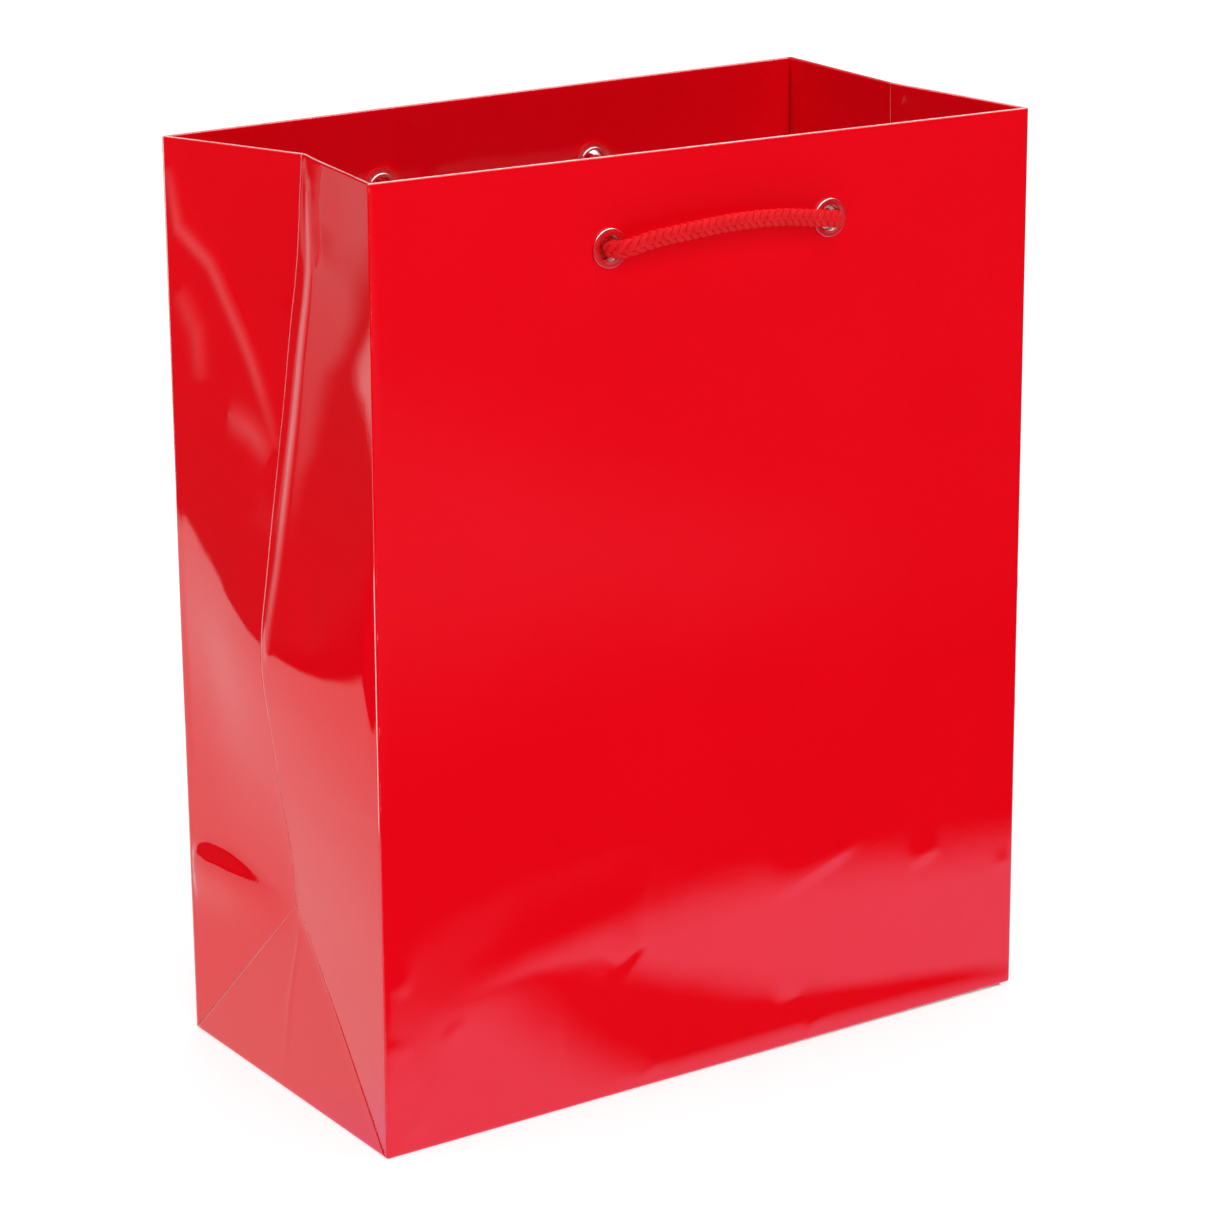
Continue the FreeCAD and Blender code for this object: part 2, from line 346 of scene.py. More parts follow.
def paper_material():
    """Uncoated white side of the sheet and its cut edge."""
    material, tree, shader = new_material("white_paper")
    where = object_place(tree)
    fibre = noise_node(tree, where, 650.0, 6.0, 0.65)
    mottle = noise_node(tree, where, 60.0, 4.0, 0.6)
    light = mix_colour(tree, mottle, (0.80, 0.77, 0.74, 1.0), (0.87, 0.85, 0.83, 1.0))
    tree.links.new(mix_colour(tree, fibre, light, (0.84, 0.81, 0.78, 1.0)), shader.inputs["Base Color"])
    tree.links.new(ramp(tree, fibre, 0.2, 0.8, 0.7, 0.92), shader.inputs["Roughness"])
    shader.inputs["Specular IOR Level"].default_value = 0.25
    tree.links.new(bump_node(tree, fibre, 0.00003), shader.inputs["Normal"])
    return material


def board_material():
    """Grey recycled board with darker flecks."""
    material, tree, shader = new_material("grey_board")
    where = object_place(tree)
    fleck = noise_node(tree, where, 800.0, 8.0, 0.75)
    mottle = noise_node(tree, where, 45.0, 4.0, 0.6)
    grey = mix_colour(tree, mottle, (0.36, 0.33, 0.29, 1.0), (0.47, 0.44, 0.39, 1.0))
    dark = ramp(tree, fleck, 0.62, 0.75)
    tree.links.new(mix_colour(tree, dark, grey, (0.18, 0.16, 0.14, 1.0)), shader.inputs["Base Color"])
    tree.links.new(ramp(tree, fleck, 0.3, 0.8, 0.78, 0.95), shader.inputs["Roughness"])
    tree.links.new(bump_node(tree, fleck, 0.00005), shader.inputs["Normal"])
    return material


def enamel_material():
    """Red lacquer over the pressed metal of the eyelets."""
    material, tree, shader = new_material("red_enamel")
    where = object_place(tree)
    cloudy = noise_node(tree, where, 500.0, 4.0, 0.6)
    colour = mix_colour(tree, cloudy, (0.62, 0.002, 0.006, 1.0), (0.78, 0.004, 0.010, 1.0))
    tree.links.new(colour, shader.inputs["Base Color"])
    tree.links.new(ramp(tree, cloudy, 0.3, 0.7, 0.10, 0.18), shader.inputs["Roughness"])
    shader.inputs["IOR"].default_value = 2.4
    shader.inputs["Coat Weight"].default_value = 1.0
    shader.inputs["Coat IOR"].default_value = 1.8
    shader.inputs["Coat Roughness"].default_value = 0.05
    tree.links.new(bump_node(tree, cloudy, 0.00002), shader.inputs["Normal"])
    return material


def cord_material():
    """Spun red yarn: fine fibres along each strand, with a soft sheen."""
    material, tree, shader = new_material("red_yarn")
    where = tree.nodes.new("ShaderNodeTexCoord").outputs["UV"]
    fibre = noise_node(tree, where, 3.0, 5.0, 0.6, (0.6, 9.0, 1.0))
    place = noise_node(tree, object_place(tree), 160.0, 3.0, 0.6)
    colour = mix_colour(tree, fibre, (0.52, 0.001, 0.004, 1.0), (0.88, 0.012, 0.020, 1.0))
    colour = mix_colour(tree, ramp(tree, place, 0.35, 0.75, 0.0, 0.3), colour, (0.84, 0.02, 0.03, 1.0))
    tree.links.new(colour, shader.inputs["Base Color"])
    tree.links.new(ramp(tree, fibre, 0.2, 0.8, 0.45, 0.7), shader.inputs["Roughness"])
    shader.inputs["Specular IOR Level"].default_value = 0.12
    shader.inputs["Sheen Weight"].default_value = 0.05
    shader.inputs["Sheen Roughness"].default_value = 0.4
    shader.inputs["Sheen Tint"].default_value = (1.0, 0.55, 0.5, 1.0)
    tree.links.new(bump_node(tree, fibre, 0.00012), shader.inputs["Normal"])
    return material


MATERIALS = {"ink": laminate_material(), "paper": paper_material(), "board": board_material(),
             "enamel": enamel_material(), "yarn": cord_material()}


# ---- meshes -------------------------------------------------------------
def make_object(name, points, faces, materials):
    mesh = bpy.data.meshes.new(name)
    mesh.from_pydata([tuple(p) for p in points * MM], [], faces)
    for key in materials:
        mesh.materials.append(MATERIALS[key])
    thing = bpy.data.objects.new(name, mesh)
    bpy.context.scene.collection.objects.link(thing)
    return thing


def shell(name, grid, keep, wear, turn=1, painted_highlight=None):
    """Closed sheet of paper from a grid of points on its printed face.

    keep says which cells of the grid are paper, wear how far the ink is worn pale and the
    highlight attribute how strongly a painted highlight is laid on at each point, turn which side the print
    is on.
    """
    along = np.gradient(grid, axis=0)
    across = np.gradient(grid, axis=1)
    normal = turn * np.cross(across, along)
    normal /= np.maximum(np.linalg.norm(normal, axis=2), 1e-9)[:, :, None]
    count = grid.shape[0] * grid.shape[1]
    points = np.concatenate([grid.reshape(-1, 3), (grid - PAPER * normal).reshape(-1, 3)])
    index = np.arange(count).reshape(grid.shape[:2])
    ring = [index[:-1, :-1], index[:-1, 1:], index[1:, 1:], index[1:, :-1]]
    print_side = np.stack([corner[keep] for corner in ring], axis=1)[:, ::turn]
    edges = np.concatenate([print_side[:, [i, (i + 1) % 4]] for i in range(4)])
    forward = edges[:, 0] * count + edges[:, 1]
    free = edges[~np.isin(forward, edges[:, 1] * count + edges[:, 0])]
    cut = np.stack([free[:, 1], free[:, 0], free[:, 0] + count, free[:, 1] + count], axis=1)
    faces = np.concatenate([print_side, print_side[:, ::-1] + count, cut])
    used, faces = np.unique(faces, return_inverse=True)
    faces = faces.reshape(-1, 4)
    thing = make_object(name, points[used], [tuple(f) for f in faces.tolist()], ("ink", "paper"))
    mesh = thing.data
    kinds = np.zeros(len(faces), np.int32)
    kinds[len(print_side):] = 1
    mesh.polygons.foreach_set("material_index", kinds)
    smooth = np.ones(len(faces), bool)
    smooth[2 * len(print_side):] = False
    mesh.polygons.foreach_set("use_smooth", smooth)
    painted_highlight = 0 * wear if painted_highlight is None else painted_highlight
    for key, values in (("wear", wear), ("painted_highlight", painted_highlight)):
        attribute = mesh.attributes.new(key, "FLOAT", "POINT")
        attribute.data.foreach_set("value", np.tile(values.ravel(), 2)[used].astype(np.float32))
    mesh.update()
    return thing


def smoothstep(low, high, value):
    t = np.clip((value - low) / (high - low), 0.0, 1.0)
    return t * t * (3 - 2 * t)


def lines(low, high, coarse, marks=(), reach=8.0, fine=1.0):
    """Grid lines from low to high, closer together round each mark."""
    stops = [low]
    for mark in sorted(marks):
        stops += [mark - reach, mark + reach]
    stops.append(high)
    found = []
    for i, (a, b) in enumerate(zip(stops, stops[1:])):
        step = fine if i % 2 else coarse
        found.extend(np.linspace(a, b, max(1, round((b - a) / step)), endpoint=False))
    return np.array(found + [high])


def graded(low, high, fine, coarse):
    """Grid lines that are close together at both ends."""
    steps = []
    step = fine
    while 2 * sum(steps) + 2 * step < high - low and step < coarse:
        steps.append(step)
        step *= 1.25
    left = high - low - 2 * sum(steps)
    count = max(1, round(left / coarse))
    steps = steps + [left / count] * count + steps[::-1]
    return low + np.concatenate([[0.0], np.cumsum(steps)])


def waves(a, b, seed, size):
    """Smooth noise over two coordinates, about -1 to 1."""
    a, b = np.broadcast_arrays(a, b)
    flat = [noise.noise(Vector((p / size, q / size, seed))) for p, q in zip(a.ravel(), b.ravel())]
    return np.array(flat).reshape(a.shape)


def to_path(a, b, path):
    """Distance to a polyline in a plane and the share of its length passed."""
    path = np.array(path, float)
    runs = np.linalg.norm(np.diff(path, axis=0), axis=1)
    ends = np.concatenate([[0.0], np.cumsum(runs)])
    best = np.full(np.shape(a), np.inf)
    share = np.zeros(np.shape(a))
    for p, q, length, start in zip(path, path[1:], runs, ends):
        d = (q - p) / length
        t = np.clip((a - p[0]) * d[0] + (b - p[1]) * d[1], 0.0, length)
        off = np.hypot(a - p[0] - t * d[0], b - p[1] - t * d[1])
        nearer = off < best
        best = np.where(nearer, off, best)
        share = np.where(nearer, (start + t) / ends[-1], share)
    return best, share


def ridge(a, b, path, width, height):
    """A raised line along a path that dies out at both ends."""
    off, share = to_path(a, b, path)
    return height * np.exp(-(off / width) ** 2) * np.sin(math.pi * share) ** 0.5


def hump(a, b, centre, widths, height):
    return height * np.exp(-((a - centre[0]) / widths[0]) ** 2 - ((b - centre[1]) / widths[1]) ** 2)


def softmin(a, b, soft):
    return (a + b - np.sqrt((a - b) ** 2 + soft ** 2)) / 2


# ---- shape of the walls at rest -----------------------------------------
def dent(a, b, start, end, height):
    """A handling crease: steep on its right-hand side, soft on the other."""
    start, end = np.array(start, float), np.array(end, float)
    length = np.linalg.norm(end - start)
    d = (end - start) / length
    along = ((a - start[0]) * d[0] + (b - start[1]) * d[1]) / length
    off = (a - start[0]) * d[1] - (b - start[1]) * d[0]
    profile = np.where(off > 0, np.exp(-(off / 1.5) ** 2), np.exp(-(off / (1.5 + 0.3 * length)) ** 2))
    return height * profile * np.exp(-((along - 0.5) / 0.42) ** 4)


# Handling creases low on the front panel: both ends (across, up) and height.
FRONT_DENTS = [((19, 44), (46, 54), 0.30), ((66, 44), (76, 47), 0.20), ((-34, 34), (-22, 43), 0.20),
               ((20, 9), (28, 15), 0.22), ((33, 8), (31, 1), 0.25), ((-21, 9), (-24, 2), 0.30),
               ((-102, 48), (-96, 45), 0.20), ((-95, 28), (-102, 32), 0.22), ((-80, 33), (-86, 28), 0.18),
               ((-92, 11), (-101, 3), 0.35), ((-99, 14), (-97, 4), 0.25), ((-88, 20), (-94, 6), 0.20),
               ((96, 36), (102, 38), 0.18), ((99, 84), (102.5, 86), 0.15), ((100, 120), (102.5, 119), 0.15)]


def front_relief(x, z):
    """How far the front panel stands out of flat: a soft heel, a hollow above it and dents."""
    fade = smoothstep(0.0, 9.0, z) * smoothstep(HALF_W, HALF_W - 14, np.abs(x))
    body = 0.35 * waves(x, z, 3.1, 90.0) * smoothstep(205.0, 150.0, z)
    body = body + 0.10 * waves(x, z, 7.7, 34.0) * smoothstep(150.0, 60.0, z)
    heel = [(-52, 10), (-20, 8), (10, 7), (50, 7), (99, 9)]
    body = body + ridge(x, z, heel, 13.0, 0.8)
    body = body + ridge(x, z, [(-95, 52), (-50, 60), (0, 68), (40, 70), (98, 50)], 14.0, -0.35)
    body = body + ridge(x, z, [(-96, 30), (-60, 44), (-20, 50)], 9.0, 0.35)
    out = fade * body
    for start, end, height in FRONT_DENTS:
        out = out + dent(x, z, start, end, height)
    return out


# Short dents in the back panel: both ends, width, depth.
BACK_DENTS = [((-60, 30), (-52, 24), 1.6, 0.30), ((44, 22), (50, 14), 1.7, 0.35),
              ((10, 70), (18, 64), 1.6, 0.22), ((90, 40), (97, 35), 1.3, 0.25)]


def back_relief(x, z):
    """The back panel: gently bowed, with a soft heel and a few handling dents."""
    fade = smoothstep(0.0, 9.0, z) * smoothstep(HALF_W, HALF_W - 14, np.abs(x))
    body = 0.4 * waves(x, z, 13.4, 80.0) * smoothstep(205.0, 150.0, z)
    body = body + ridge(x, z, [(-92, 9), (-20, 12), (60, 8)], 15.0, 1.3)
    body = body + ridge(x, z, [(-70, 58), (0, 50), (80, 60)], 22.0, -0.6)
    out = fade * body
    for start, end, width, height in BACK_DENTS:
        out = out + ridge(x, z, [start, end], width, -height)
    return out


# Inward offset of each gusset's centre crease: height, offset.
LEFT_CREASE = [(0, 4.8), (51, 4.8), (69, 3.2), (95, -0.6), (117, -3.8), (128, -4.0), (144, -1.7),
               (160, 0.5), (173, 2.4), (191, 5.0), (209, 7.2), (222, 9.3), (234, 10.6), (246, 11.2),
               (254, 12.2)]
RIGHT_CREASE = [(0, 4.2), (53, 4.2), (110, 1.5), (170, 3.0), (254, 4.4)]
FOOT_SLOPE = 0.094       # inward lean of the foot triangles
SIDE_FADE = 5.0          # buckles die out this far from a corner


def along_crease(crease, z):
    heights, offsets = np.array(crease, float).T
    near = [np.interp(z + shift, heights, offsets) for shift in (-6, -3, 0, 3, 6)]
    return sum(near) / len(near)


def tent(y, z, crease, strip):
    """Inward offset of a folded gusset: two flats either side of a flattened strip."""
    c = along_crease(crease, z)
    inward = np.maximum(c, 0.0)
    rear = inward * (HALF_D - y) / (HALF_D - 0.4)
    front = inward * (HALF_D + y) / (HALF_D - strip)
    folded = softmin(softmin(rear, front, 0.25), inward * (1.0 - 0.02 * np.abs(y) / 5), 0.12)
    bulge = np.minimum(c, 0.0) * np.clip(1 - (y / HALF_D) ** 2, 0, 1) ** 1.3
    return softmin(FOOT_SLOPE * z + 0.02, folded + bulge, 0.12)


# Where the half-folded left side is buckled, as (y, z): the front edge of the
# flattened strip along the centre crease, and three folds in the rear half.
STRIP_EDGE = [(-1.5, 253), (-5.5, 246), (-7.0, 225), (-6.3, 190), (-5.0, 150), (-2.0, 122)]
LONG_BUCKLE = [(51, 246), (47, 230), (34, 222), (16, 200), (1, 178)]
SHORT_BUCKLE = [(48, 213), (40, 203), (38, 190)]
BUCKLE_FOOT = [(25, 183), (14, 181), (4, 176)]
# Painted highlight lines along the buckles, pale pink laid into the ink: path, width, how strongly.
HIGHLIGHT_LINES = [(STRIP_EDGE, 1.2, 1.0), (LONG_BUCKLE, 1.9, 0.24), (SHORT_BUCKLE, 3.4, 0.13),
          (BUCKLE_FOOT, 3.6, 0.24)]


def left_side(y, z):
    """Outward offset of the left side, buckled where it has been half folded."""
    strip = np.interp(z, (110, 125, 150, 190, 225, 246, 254), (0.5, 3.0, 5.0, 6.5, 7.0, 5.5, 2.0))
    out = -tent(y, z, LEFT_CREASE, strip)
    out = out + ridge(y, z, LONG_BUCKLE, 3.0, 0.60)
    out = out + ridge(y, z, SHORT_BUCKLE, 2.6, 0.45)
    out = out + ridge(y, z, BUCKLE_FOOT, 2.6, 0.60)
    out = out + ridge(y, z, STRIP_EDGE, 1.5, 0.40)
    out = out + hump(y, z, (-12, 243), (16, 12), 1.0) * smoothstep(0.0, -6.0, y)
    out = out + hump(y, z, (-50, 138), (24, 20), 0.8)
    out = out + hump(y, z, (-22, 140), (6, 7), -0.45)
    out = out + hump(y, z, (34, 108), (17, 30), -0.7)
    out = out + spindle(y, z)
    out = out + ridge(y, z, [(-1.5, 47), (2.0, 24), (2.5, 3)], 0.8, 0.14)
    fade = smoothstep(HALF_D - FOLD_R, HALF_D - SIDE_FADE, np.abs(y))
    return -tent(y, z, LEFT_CREASE, strip) * (1 - fade) + out * fade


def spindle(y, z):
    """A lens of paper lifted above the level crease of the left foot."""
    line = np.interp(y, (-7, 53), (53.0, 51.0))
    lens = smoothstep(3.0, 36.0, y) * (1 - 0.35 * smoothstep(42.0, 54.0, y))
    above = 0.5 + 0.5 * np.cos(math.pi * np.clip((z - line) / (1.5 + 8.0 * lens), 0, 1))
    below = np.exp(-((z - line) / 9.0) ** 2)
    return 2.0 * lens * np.where(z > line, above, below)


def right_side(y, z):
    """Outward offset of the right side, which has kept its flat folds."""
    strip = np.interp(z, (80, 254), (0.5, 3.0))
    out = -tent(y, z, RIGHT_CREASE, strip)
    out = out + 0.35 * waves(y, z, 21.3, 40.0) * smoothstep(HALF_D, HALF_D - 12, np.abs(y))
    out = out + ridge(y, z, [(-40, 52), (-2, 53)], 1.2, -0.2) + ridge(y, z, [(3, 53), (44, 51)], 1.2, -0.2)
    out = out + ridge(y, z, [(0, 48), (-1, 4)], 0.8, 0.14)
    return out


SIDE_SHAPE = {-1: left_side, 1: right_side}
WALL_SHAPE = {-1: front_relief, 1: back_relief}

# Small skew of the whole paper body: how far each corner is from square, at
# the floor and at the rim, as (x, y, z).
SKEW = {(-1, -1, 0): (-1.2, 0.0, 0.0), (1, -1, 0): (1.2, 0.0, 0.8),
        (-1, 1, 0): (0.0, 0.6, 0.0), (1, 1, 0): (0.0, 0.0, 0.4),
        (-1, -1, 1): (0.5, 0.0, 1.0), (1, -1, 1): (0.3, 0.0, -0.6),
        (-1, 1, 1): (0.0, 0.0, -1.9), (1, 1, 1): (-0.4, 0.0, 0.5)}


def skewed(points):
    """Moves paper points by the skew, but not near the eyelets, which stay put."""
    u = points[..., 0] / HALF_W
    v = points[..., 1] / HALF_D
    w = points[..., 2] / HEIGHT
    move = np.zeros_like(points)
    for (a, b, c), offset in SKEW.items():
        weight = (1 + a * u) / 2 * (1 + b * v) / 2 * (w if c else 1 - w)
        move += weight[..., None] * np.array(offset)
    for centre in EYELETS.values():
        same = np.sign(centre[1]) * points[..., 1] > HALF_D / 2
        far = np.hypot(points[..., 0] - centre[0], points[..., 2] - centre[2])
        move *= np.where(same, smoothstep(9.0, 24.0, far), 1.0)[..., None]
    return points + move


# ---- wall skins ---------------------------------------------------------
HOLE_R = 3.8
HOLE_CELLS = 4.0         # grid cells this near an eyelet's centre are cut away
HOLE_REACH = 8.0
RIM_STEPS = 8
FOLD_STEPS = 4
HEM_INSET = 0.35         # how far the turned-in rim is cut back at the corners
WALL_TAPER = 84.0        # the cut-back starts here along a wall
SIDE_TAPER = 14.0        # and this far from the corner along a gusset
CORNER_WEAR = 0.62       # how pale the folds have worn, 0 to 1
FLOOR_WEAR = 0.55
FOOT_WEAR = 0.5
CREASE_WEAR = 0.45


def path_rows(marks):
    """Grid rows of a sheet from its bottom fold, up, over the rim and down the hem."""
    rows = []
    for k in range(FOLD_STEPS):
        angle = math.pi / 2 * (1 - k / FOLD_STEPS)
        rows.append((FOLD_R * math.cos(angle), FOLD_R * (1 - math.sin(angle)), 0.0, k / FOLD_STEPS))
    top = HEIGHT - RIM_R
    body = np.concatenate([graded(FOLD_R, 20.0, 0.6, 1.1)[:-1], lines(20.0, 72.0, 1.1)[:-1],
                           lines(72.0, top, 2.0, marks)])
    rows += [(FOLD_R, z, 0.0, 1.0) for z in body]
    for k in range(1, RIM_STEPS):
        angle = math.pi * k / RIM_STEPS
        rows.append((FOLD_R - RIM_R + RIM_R * math.cos(angle), top + RIM_R * math.sin(angle),
                     k / RIM_STEPS, 1.0))
    hem = lines(HEM_END, top, 2.0, marks)[::-1]
    rows += [(FOLD_R - 2 * RIM_R, z, 1.0 + (top - z) / HEIGHT, 1.0) for z in hem]
    return np.array(rows)


def punch(grid, centres):
    """Moves grid points so that the cut-away cells round each centre leave a round hole."""
    for cx, cz in centres:
        dx = grid[..., 0] - cx
        dz = grid[..., 2] - cz
        square = np.maximum(np.abs(dx), np.abs(dz))
        t = np.clip((square - HOLE_CELLS) / (HOLE_REACH - HOLE_CELLS), 0.0, 1.0)
        scale = np.where(square > 1e-6, (1 - t) * HOLE_R / np.maximum(np.hypot(dx, dz), 1e-6) + t, 1.0)
        grid[..., 0] = cx + dx * scale
        grid[..., 2] = cz + dz * scale
    return grid


def in_holes(x, z, centres):
    """Cells whose middle is inside a hole's square."""
    found = np.zeros(x.shape, bool)
    for cx, cz in centres:
        found |= np.maximum(np.abs(x - cx), np.abs(z - cz)) < HOLE_CELLS
    return found


def rim_wear(turned):
    """Pale line along the very top of the rolled rim."""
    return np.exp(-((turned - 0.42) / 0.22) ** 2)


def wall_skin(wall, sy):
    centres = [EYELETS[wall + "_" + side][[0, 2]] for side, _ in SIDES]
    rows = path_rows([centres[0][1]])
    flat = HALF_W - FOLD_R
    across = lines(-flat, flat, 1.5, [c[0] for c in centres])
    bend = [math.pi / 2 * (1 - k / FOLD_STEPS) for k in range(FOLD_STEPS)]
    x = np.concatenate([[-flat] * FOLD_STEPS, across, [flat] * FOLD_STEPS])
    angle = np.concatenate([[-a for a in bend], np.zeros(len(across)), bend[::-1]])
    off, z, turned, grown = (rows[:, i][:, None] for i in range(4))
    relief = WALL_SHAPE[sy](x[None, :] + 0 * z, z + 0 * x[None, :]) * grown
    off = off + relief * np.cos(angle)[None, :]
    inset = HEM_INSET * smoothstep(1.0, 1.015, turned) * smoothstep(WALL_TAPER, flat, np.abs(x))[None, :]
    px = x[None, :] - np.sign(x)[None, :] * inset + np.sin(angle)[None, :] * off
    py = sy * (HALF_D - FOLD_R + np.cos(angle)[None, :] * off)
    grid = np.stack([px, py + 0 * px, z + 0 * px], axis=2)
    mid_x = (x[:-1] + x[1:])[None, :] / 2 + 0 * z[:-1]
    mid_z = (z[:-1] + z[1:]) / 2 + 0 * x[None, :-1]
    mid_turn = (turned[:-1] + turned[1:]) / 2 + 0 * mid_x
    straight = (angle[:-1] == 0) & (angle[1:] == 0)
    keep = (straight[None, :] | (mid_turn < 0.5)) & ~in_holes(mid_x, mid_z, centres)
    grid = skewed(punch(grid, centres))
    corner = CORNER_WEAR * np.sin(2 * np.abs(angle))[None, :]
    foot = FLOOR_WEAR * np.sin(math.pi * np.clip(grown, 0, 1)) * (turned == 0)
    wear = np.maximum(np.maximum(rim_wear(turned), corner * (turned < 1)), foot)
    skin = shell(wall + "_wall_skin", grid, keep, wear, turn=-sy)
    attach(skin, wall + "_wall")
    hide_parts(wall + "_panel", wall + "_hem")


# ---- side skins ---------------------------------------------------------
SEAM = 0.04              # hairline between skins that meet on a crease


def side_points(sx, y, z, off):
    """Points on a side, off being the distance out from the fold's centre line."""
    out = SIDE_SHAPE[sx](y, np.minimum(z, HEIGHT))
    return np.stack([sx * (HALF_W - FOLD_R + off + out), y, z], axis=2)


def gusset_skin(side, sx, name, sy):
    """Half a gusset, from its wall's corner fold to the centre crease, with its turned-in rim."""
    rows = path_rows([])
    rows = rows[rows[:, 3] == 1.0]
    body = rows[:, 2] == 0.0
    reach = HALF_D - FOLD_R
    y = sy * graded(SEAM, reach, 0.35, 1.0)[None, :]
    low = HALF_D - np.abs(y) + SEAM
    share = graded(0.0, 1.0, 0.002, 0.006)[:, None]
    top = HEIGHT - RIM_R
    z_body = low + share * (top - low)
    rest = rows[~body]
    z = np.concatenate([z_body, rest[:, 1][:, None] + 0 * y])
    off = np.concatenate([np.full(z_body.shape, FOLD_R), rest[:, 0][:, None] + 0 * y])
    turned = np.concatenate([0 * z_body, rest[:, 2][:, None] + 0 * y])
    inset = HEM_INSET * smoothstep(1.0, 1.015, turned) * smoothstep(reach - SIDE_TAPER, reach, np.abs(y))
    grid = skewed(side_points(sx, y - sy * inset, z, off))
    keep = np.ones((z.shape[0] - 1, z.shape[1] - 1), bool)
    to_foot = np.exp(-((z - low) / 0.7) ** 2) * smoothstep(1.0, 0.2, np.abs(y) / HALF_D)
    crease = (CREASE_WEAR - 0.15 * smoothstep(115, 135, z)) * np.exp(-(y / 0.6) ** 2)
    # Painted highlight along the strip edge and the buckles of the left side.
    painted_highlight = 0 * z
    if side == "left":
        for path, width, amount in HIGHLIGHT_LINES:
            gap, share = to_path(y + 0 * z, z, path)
            line = np.exp(-(gap / width) ** 2) * np.sin(math.pi * share) ** 0.4
            painted_highlight = np.maximum(painted_highlight, amount * line)
    wear = np.maximum(np.maximum(rim_wear(turned), FOOT_WEAR * to_foot), crease * (turned < 1))
    skin = shell("gusset_" + side + "_" + name + "_skin", grid, keep, wear, turn=sx * sy, painted_highlight=painted_highlight)
    half = "gusset_" + side + "_" + name
    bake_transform(skin)
    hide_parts(half, "gusset_hem_" + side + "_" + name)


def foot_skin(side, sx):
    """Triangle below the two diagonal creases, rolled under at the floor."""
    share = np.linspace(-1, 1, 61)[None, :]
    rows = path_rows([])[:FOLD_STEPS]
    z_up = graded(FOLD_R, HALF_D - 0.3, 0.5, 1.6)
    z = np.concatenate([rows[:, 1], z_up])[:, None] + 0 * share
    off = np.concatenate([rows[:, 0], np.full(len(z_up), FOLD_R)])[:, None] + 0 * share
    half = np.minimum(HALF_D - FOLD_R, HALF_D - z - SEAM)
    y = share * half
    grid = skewed(side_points(sx, y, z, off))
    keep = np.ones((z.shape[0] - 1, z.shape[1] - 1), bool)
    to_side = np.exp(-((half - np.abs(y)) / 0.5) ** 2)
    floor = np.exp(-((z - 0.5) / 0.5) ** 2)
    wear = FOOT_WEAR * np.maximum(to_side, floor)
    skin = shell("foot_" + side + "_skin", grid, keep, wear, turn=sx)
    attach(skin, "foot_" + side + "_triangle")
    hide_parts("foot_" + side)


# ---- base ---------------------------------------------------------------
FLAP_ROOT = 51.7         # half widths of a side flap, at the wall and at its tip
FLAP_TIP = 31.7
LAP = (9.2, 7.6)         # the rear flap climbs on to the front one between these
LAP_STEP = 0.3           # one thickness of paper


def base_flap(start, end, low):
    """Points of a base flap between two ends, each (y, half width)."""
    (y0, half0), (y1, half1) = start, end
    y = graded(y0, y1, 1.0, 4.0)[:, None]
    half = half0 + (half1 - half0) * (y - y0) / (y1 - y0)
    share = np.linspace(-1, 1, 41)[None, :]
    x = share * half
    z = low + 0.05 * waves(x, y + 0 * x, 5.0, 30.0) * (1 - share ** 2)
    return np.stack([x, y + 0 * x, np.maximum(z, low)], axis=2)


def make_base():
    for name in ("front", "rear"):
        low, high = box_mm("base_flap_" + name)
        grid = base_flap((low[1], high[0]), (high[1], high[0]), 0.0)
        if name == "rear":
            grid[..., 2] += LAP_STEP * smoothstep(*LAP, grid[..., 1])
        finish_flap("base_flap_" + name, grid, -1)
    for side, sx in SIDES:
        low, high = box_mm("base_flap_" + side)
        near, far = (FLAP_ROOT, FLAP_TIP) if sx < 0 else (FLAP_TIP, FLAP_ROOT)
        grid = base_flap((low[0], near), (high[0], far), low[2])
        finish_flap("base_flap_" + side, grid[..., [1, 0, 2]], 1)


def finish_flap(node, grid, turn):
    keep = np.ones((grid.shape[0] - 1, grid.shape[1] - 1), bool)
    skin = shell(node + "_skin", grid, keep, np.zeros(grid.shape[:2]), turn=turn)
    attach(skin, "base")
    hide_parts(node)


# ---- eyelets ------------------------------------------------------------
EYELET_SIDES = 72
BORE_R = 3.3
FLANGE_OUT = 0.8         # how far the flange stands out from the wall
NECK_R = 3.7             # outside of the neck, behind the flange


def arc(centre, radius, start, end, count):
    turn = np.radians(np.linspace(start, end, count))
    return [(centre[0] + radius * math.cos(a), centre[1] + radius * math.sin(a)) for a in turn]


